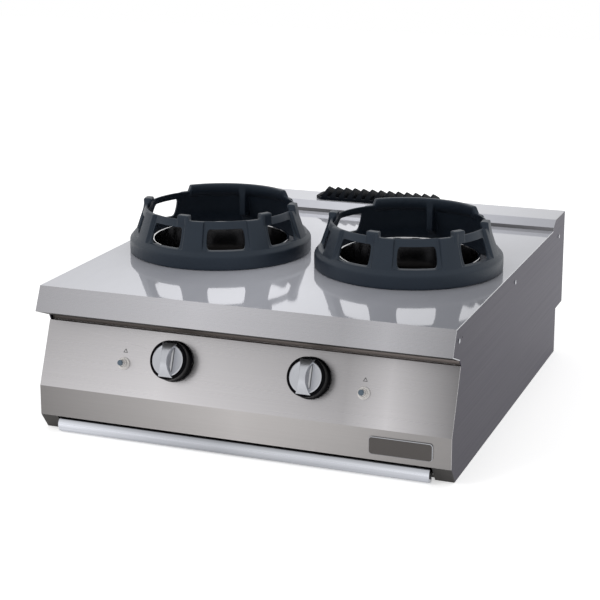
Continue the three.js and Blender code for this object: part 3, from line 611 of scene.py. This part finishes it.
for side, sign in (("left", -1), ("right", 1)):
    there = on_panel(sign * BUTTON_X, BUTTON_RISE)
    bezel = moved(turned(BEZEL, 72), there)
    piece(f"{side}_bezel_turned", bezel, cream, "casing", "cream_plastic", f"{side}_igniter_bezel")
    tip = moved(turned(BUTTON, 72), there)
    node = f"{side}_igniter_button"
    button = piece(f"{side}_button_turned", tip, tip_blue, BODY[node], "blue_plastic", node)
    flat = there.inverted()
    repaint(button, cream, lambda face: (flat @ face.center).z < TIP_FOOT * MM)
    above = on_panel(sign * BUTTON_X, BUTTON_RISE + MARK_ABOVE)
    mark = moved(spark_mark(), above @ Matrix.Translation((0, 0, MARK_LIFT * MM)))
    piece(f"{side}_spark_mark", mark, mark_ink, "casing", "black_gloss")
print("igniters ready")

# %% [markdown]
# ## Wok rings
# A wok ring is a cast hoop with six windows, four lugs that carry the wok and a higher band at the
# back. Its section changes from place to place, so the section is spun station by station, with a
# station at each change, and every row of the section is then set to the shape it has there.

# %% The section of the ring at a given angle
BURNER_X, BURNER_Y, PLATE_TOP = 198, -48, 280
WINDOWS = (-112.5, -67.5, -22.5, 22.5, 67.5, 112.5)
LUGS = (-84, -9, 54, 93)
BACK_BAND = (136, 224.5)
RIB = (177, 183)
WINDOW_HALF, RECESS_HALF, RECESS_DEPTH, LUG_HALF, RIB_RADIUS = 13.4, 15.6, 5.5, 4.75, 140.5
CONE_FOOT, CONE_HEIGHT, CONE_RADIUS, CONE_DRAFT, WALL = 34, 56, 176, 19.5, 10
ROWS = ("foot_out", "base_out", "band", "band_top", "step", "shoulder", "sill", "sill_lip", "head_lip")
ROWS += ("head", "rim_out", "crest_out", "crest_in", "rim_in", "face_in", "head_in", "head_lip_in")
ROWS += ("sill_lip_in", "sill_in", "step_in", "base_in", "foot_in")


def cone(height):
    return CONE_RADIUS - (height - CONE_FOOT) * CONE_DRAFT / CONE_HEIGHT


PLAIN = {
    "foot_out": (182.2, 0.3), "base_out": (183, 1.2), "band": (183, 25.6), "band_top": (182.0, 27.6),
    "step": (177.2, 33), "shoulder": (175.6, 34.8), "sill": (cone(36.2), 36.2),
    "sill_lip": (cone(37.2), 37.2), "head_lip": (cone(75.8), 75.8), "head": (cone(77), 77),
    "rim_out": (cone(88.2), 88.2), "crest_out": (cone(90) - 1, 90), "crest_in": (147.5, 90),
    "rim_in": (cone(88.2) - WALL, 88.2), "face_in": (cone(84) - WALL, 84),
    "head_in": (cone(77) - WALL, 77), "head_lip_in": (cone(75.8) - WALL, 75.8),
    "sill_lip_in": (cone(37.2) - WALL, 37.2), "sill_in": (cone(36) - WALL, 36),
    "step_in": (166, 34), "base_in": (173.2, 1.2), "foot_in": (174, 0.3),
}
IN_RECESS = ("sill_lip", "head_lip", "head", "rim_out", "crest_out")
BAND_ROWS = {"rim_out": (152.0, 102), "crest_out": (150.8, 104), "crest_in": (142, 104)}
BAND_ROWS.update({"rim_in": (141, 102.4), "face_in": (141, 85)})
LUG_ROWS = {"rim_out": (157.4, 98.4), "crest_out": (156.6, 100), "crest_in": (142.2, 100)}
LUG_ROWS.update({"rim_in": (141, 98.4), "face_in": (141, 85)})
RIB_ROWS = ("head_in", "head_lip_in", "sill_lip_in", "sill_in")


def apart(angle, other):
    return abs((angle - other + 180) % 360 - 180)


def section(row, angle):
    radius, height = PLAIN[row]
    if row in IN_RECESS and any(apart(angle, window) < RECESS_HALF for window in WINDOWS):
        radius -= RECESS_DEPTH
    if row in LUG_ROWS and any(apart(angle, lug) < LUG_HALF for lug in LUGS):
        radius, height = LUG_ROWS[row]
    if row in BAND_ROWS and BACK_BAND[0] < angle % 360 < BACK_BAND[1]:
        radius, height = BAND_ROWS[row]
    if row in RIB_ROWS and RIB[0] < angle % 360 < RIB[1]:
        radius = RIB_RADIUS
    return radius, height


print("rows in the section:", len(ROWS))

# %% Stations round the ring, close together where the section changes
WINDOW_STEPS, LUG_STEPS = (13.4, 14.6, 15.35, 15.85, 16.8), (3.7, 4.5, 5.0, 5.9)
EDGE_STEPS = (-1.2, -0.25, 0.25, 1.2)
CLOSEST, WIDEST = 0.22, 3.2


def between(first, gap):
    count = int(gap / WIDEST)
    return [first + gap * i / (count + 1) for i in range(1, count + 1)]


def stations():
    marks = [window + s * d for window in WINDOWS for s in (-1, 1) for d in WINDOW_STEPS]
    marks += [lug + s * d for lug in LUGS for s in (-1, 1) for d in LUG_STEPS]
    marks += [edge + step for edge in (*BACK_BAND, *RIB) for step in EDGE_STEPS]
    marks = sorted(mark % 360 for mark in marks)
    kept = [marks[0]]
    for mark in marks[1:]:
        gap = mark - kept[-1]
        if gap >= CLOSEST:
            kept += between(kept[-1], gap)
            kept.append(mark)
    return kept + between(kept[-1], marks[0] + 360 - kept[-1])


STATIONS = stations()
print("stations:", len(STATIONS))

# %% Spin the section, shape it, cut the windows and line them
RIM_CREASE, RIM_REACH = 0.62, 16


def wok_ring(turn_angle, centre):
    mesh = bmesh.new()
    row_of = mesh.verts.layers.int.new("row")
    station_of = mesh.verts.layers.int.new("station")
    points = [mesh.verts.new((PLAIN[row][0] * MM, 0, PLAIN[row][1] * MM)) for row in ROWS]
    for number, point in enumerate(points):
        point[row_of] = number
    chain = [mesh.edges.new(pair) for pair in zip(points, points[1:] + points[:1])]
    front = Matrix.Rotation(math.radians(STATIONS[0] - 90), 3, "Z")
    bmesh.ops.rotate(mesh, verts=points, cent=(0, 0, 0), matrix=front)
    last = points + chain
    for number, angle in enumerate(STATIONS[1:] + [STATIONS[0] + 360], start=1):
        step = math.radians(angle - STATIONS[number - 1])
        spun = bmesh.ops.spin(mesh, geom=last, cent=(0, 0, 0), axis=(0, 0, 1), angle=step, steps=1)
        last = spun["geom_last"]
        for item in last:
            if isinstance(item, bmesh.types.BMVert):
                item[station_of] = number % len(STATIONS)
    bmesh.ops.remove_doubles(mesh, verts=mesh.verts, dist=RING_WELD)
    shape_rows(mesh, row_of, station_of)
    open_windows(mesh, row_of)
    bmesh.ops.recalc_face_normals(mesh, faces=mesh.faces)
    place = Matrix.Translation(Vector(centre) * MM) @ Matrix.Rotation(math.radians(turn_angle), 4, "Z")
    return moved(mesh, place)


def shape_rows(mesh, row_of, station_of):
    for vert in mesh.verts:
        angle = STATIONS[vert[station_of]]
        radius, height = section(ROWS[vert[row_of]], angle)
        across, along = math.sin(math.radians(angle)), -math.cos(math.radians(angle))
        vert.co = Vector((radius * across, radius * along, height)) * MM


def angle_of(spot):
    return math.degrees(math.atan2(spot.x, -spot.y))


def edge_angle(edge):
    return angle_of((edge.verts[0].co + edge.verts[1].co) / 2)


def open_windows(mesh, row_of):
    pairs = ({"sill_lip", "head_lip"}, {"sill_lip_in", "head_lip_in"})
    doomed = []
    for face in mesh.faces:
        angle = angle_of(face.calc_center_median())
        rows = {ROWS[vert[row_of]] for vert in face.verts}
        if rows in pairs and any(apart(angle, window) < WINDOW_HALF for window in WINDOWS):
            doomed.append(face)
    bmesh.ops.delete(mesh, geom=doomed, context="FACES")
    crease = mesh.edges.layers.float.new("crease_edge")
    rims = [edge for edge in mesh.edges if edge.is_boundary]
    for edge in rims:
        edge[crease] = RIM_CREASE
    for window in WINDOWS:
        mine = [edge for edge in rims if apart(edge_angle(edge), window) < RIM_REACH]
        bmesh.ops.bridge_loops(mesh, edges=mine)


for side, sign, turn_angle in (("left", -1, 4.5), ("right", 1, 0)):
    node = f"{side}_wok_ring"
    shape = wok_ring(turn_angle, (sign * BURNER_X, BURNER_Y, PLATE_TOP))
    ring = piece(f"{side}_ring_cast", shape, ring_iron, BODY[node], "ring_iron", node)
    smooth = ring.modifiers.new("smooth", "SUBSURF")
    smooth.levels = smooth.render_levels = 2
    for edge in ring.data.edges:
        edge.use_edge_sharp = False
    print(node, "faces", len(ring.data.polygons))

# %% [markdown]
# ## Bowls under the burners
# The bowl, its raised collar and the small flare that meets the worktop are one spun, polished piece.
# The bowl is painted far darker than the collar and the flare: painted shade inside the deep well.

# %% Burner wells
BOWL = [(150, 0.3), (146.8, 0.9), (143.2, 4.2), (140.6, 9.5), (139.0, 16), (139.0, 22.5)]
BOWL += [(138.6, 24.4), (137.4, 25), (135.4, 25), (134.2, 24.4), (133.6, 22.5), (133.2, -60)]
BOWL += [(132, -67), (128, -71), (122, -72), (56, -72), (52, -72), (52, -75), (124, -75), (131, -73)]
BOWL += [(135, -68), (136, -60), (136, 0.3), (150, 0.3)]
COLLAR_RADIUS, COLLAR_FOOT = 138.5, 300


def on_collar(face, centre):
    outside = (face.center - centre).xy.length > COLLAR_RADIUS * MM
    return outside or face.center.z > COLLAR_FOOT * MM



for side, sign in (("left", -1), ("right", 1)):
    node = f"{side}_burner_well"
    centre = Vector((sign * BURNER_X, BURNER_Y, PLATE_TOP)) * MM
    bowl = moved(turned(BOWL, 144), Matrix.Translation(centre))
    well = piece(f"{side}_well_spun", bowl, bowl_steel_shaded, BODY[node], SLOT[node], node)
    repaint(well, collar_steel, lambda face: on_collar(face, centre))
print("wells ready")

# %% [markdown]
# ## The other nodes
# The small parts that show through the rings and the side screws get a narrow bevel. Every solid
# takes the finish of its slot, so that those without a dressed copy have one too.

# %% Burners, pipes, valves and screws
SLOT_FINISH = {
    "brushed_steel": inner_steel, "worktop_steel": worktop_steel, "dark_steel": dark_steel,
    "ring_iron": ring_iron, "black_iron": black_iron, "burner_iron": burner_iron,
    "black_gloss": black_gloss, "satin_silver": silver, "cream_plastic": cream,
    "blue_plastic": tip_blue, "brass": brass, "aluminium": aluminium, "ceramic": ceramic,
    "plate_dark": plate_dark,
}
SMALL_PARTS = ("burner_cap", "burner_body", "pilot_burner", "thermocouple", "spark_electrode")
SMALL_PARTS += ("side_screw_front", "side_screw_middle", "side_screw_rear", "injector")

for side in ("left", "right"):
    for part in SMALL_PARTS:
        node = f"{side}_{part}"
        dressed(node, SLOT_FINISH[SLOT[node]], 0.3, 1)
dressed("gas_inlet_pipe", SLOT_FINISH[SLOT["gas_inlet_pipe"]], 0)

for node, solid in nodes.items():
    solid.data.materials.clear()
    solid.data.materials.append(SLOT_FINISH[SLOT[node]])
print("all nodes have a finish:", len(nodes))

# %% [markdown]
# ## Floor and light
# The photo is a cut-out on white with almost no shadow. The floor is pale and takes the soft shadow;
# to the camera, and in mirrors, the surroundings are plain white. The light is a bright sky and two
# soft lamps, at a level where a colour renders about as it is written.

# %% Floor, world and lamps
ROOM_LIGHT, FLOOR_HALF, FLOOR_GREY, FLOOR_GLOW = 0.62, 6, 0.9, 0.5


def seen_white(tree):
    paths = tree.nodes.new("ShaderNodeLightPath")
    seen = paths.outputs["Is Camera Ray"]
    for kind in ("Is Glossy Ray", "Is Transmission Ray"):
        either = tree.nodes.new("ShaderNodeMath")
        either.operation = "MAXIMUM"
        tree.links.new(seen, either.inputs[0])
        tree.links.new(paths.outputs[kind], either.inputs[1])
        seen = either.outputs[0]
    return seen


world = bpy.data.worlds.new("studio")
world.use_nodes = True
bpy.context.scene.world = world
tree = world.node_tree
sky = tree.nodes["Background"]
sky.inputs["Color"].default_value = (1, 1, 1, 1)
level_of_light = tree.nodes.new("ShaderNodeMapRange")
level_of_light.inputs["To Min"].default_value = ROOM_LIGHT
level_of_light.inputs["To Max"].default_value = 1.0
tree.links.new(seen_white(tree), level_of_light.inputs["Value"])
tree.links.new(level_of_light.outputs[0], sky.inputs["Strength"])

ground = bmesh.new()
bmesh.ops.create_grid(ground, x_segments=1, y_segments=1, size=FLOOR_HALF)
floor_data = bpy.data.meshes.new("floor")
ground.to_mesh(floor_data)
ground.free()
floor = bpy.data.objects.new("floor", floor_data)
bpy.context.scene.collection.objects.link(floor)
floor_finish = Finish("floor_white", Roughness=1.0, Emission_Strength=1.0, Specular_IOR_Level=0.0)
floor_finish.paint(Base_Color=(FLOOR_GREY, FLOOR_GREY, FLOOR_GREY, 1))
glow = (FLOOR_GLOW, FLOOR_GLOW, FLOOR_GLOW)
paths = floor_finish.node("ShaderNodeLightPath", output="Is Camera Ray")
mirrored = floor_finish.node("ShaderNodeLightPath", output="Is Glossy Ray")
lifted = blend_colours(floor_finish, paths + mirrored, (0.0, 0.0, 0.0), glow)
floor_finish.paint(Emission_Color=lifted)
floor_data.materials.append(floor_finish.material)


def lamp(name, place, target, size, power):
    light = bpy.data.lights.new(name, "AREA")
    light.shape, light.size, light.energy = "DISK", size, power
    made = bpy.data.objects.new(name, light)
    made.location = place
    made.rotation_euler = (Vector(target) - Vector(place)).to_track_quat("-Z", "Y").to_euler()
    made.visible_glossy = False
    bpy.context.scene.collection.objects.link(made)
    return made


lamp("key", (-1.6, -2.2, 2.6), (0, -0.1, 0.15), 1.6, 26)
lamp("back", (0.6, 2.2, 2.4), (0, 0, 0.2), 1.4, 14)
bpy.context.scene.view_settings.view_transform = "Standard"
print("lamps:", len(bpy.data.lights))
